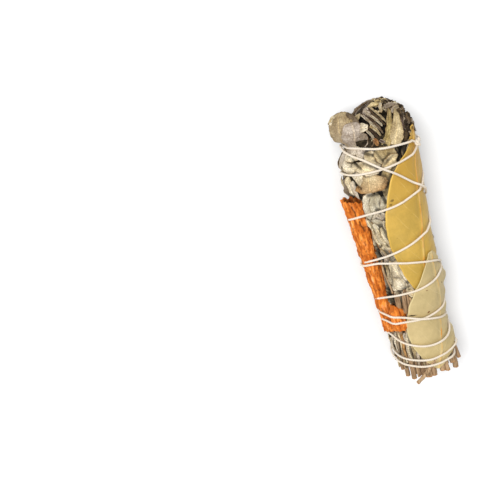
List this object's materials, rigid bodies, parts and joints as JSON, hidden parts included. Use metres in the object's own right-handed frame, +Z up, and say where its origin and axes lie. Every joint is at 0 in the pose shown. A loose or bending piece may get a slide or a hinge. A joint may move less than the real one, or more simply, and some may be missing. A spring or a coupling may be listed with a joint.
{
  "type": "sage smudge stick",
  "caption": "Bundle of dried white sage sprigs bound with cotton string, holding bay leaves and rolled cinnamon bark, with cut stems at one end. It lies on its side.",
  "frame": {"origin": "centre of the bounding box on the surface that the stick lies on", "axes": "+Y along the stick towards its leafy head, +Z up out of its front, where the bay leaves are, +X to the side with the knot"},
  "size_m": [0.0378, 0.117, 0.0332],
  "materials": {
    "sage": "dry matt felted leaf",
    "stem": "dry matt twig with a pale cut end",
    "bay_upper": "satin dried leaf, ochre",
    "bay_lower": "satin dried leaf, grey-green",
    "cinnamon": "dry rough bark",
    "string": "twisted cotton, matt"
  },
  "bodies": {
    "root": {"sage_bunch": "sage", "cut_stem_01": "stem", "cut_stem_02": "stem", "cut_stem_03": "stem", "cut_stem_04": "stem", "cut_stem_05": "stem", "cut_stem_06": "stem", "cut_stem_07": "stem", "cut_stem_08": "stem", "cut_stem_09": "stem", "cut_stem_10": "stem", "cut_stem_11": "stem", "cut_stem_12": "stem", "cut_stem_13": "stem", "cut_stem_14": "stem", "cut_stem_15": "stem", "cut_stem_16": "stem", "cut_stem_17": "stem", "cut_stem_18": "stem", "cut_stem_19": "stem", "cut_stem_20": "stem", "bay_leaf_upper": "bay_upper", "bay_leaf_lower": "bay_lower", "cinnamon_quill_long": "cinnamon", "cinnamon_quill_short": "cinnamon", "cotton_string": "string"}
  },
  "joints": []
}
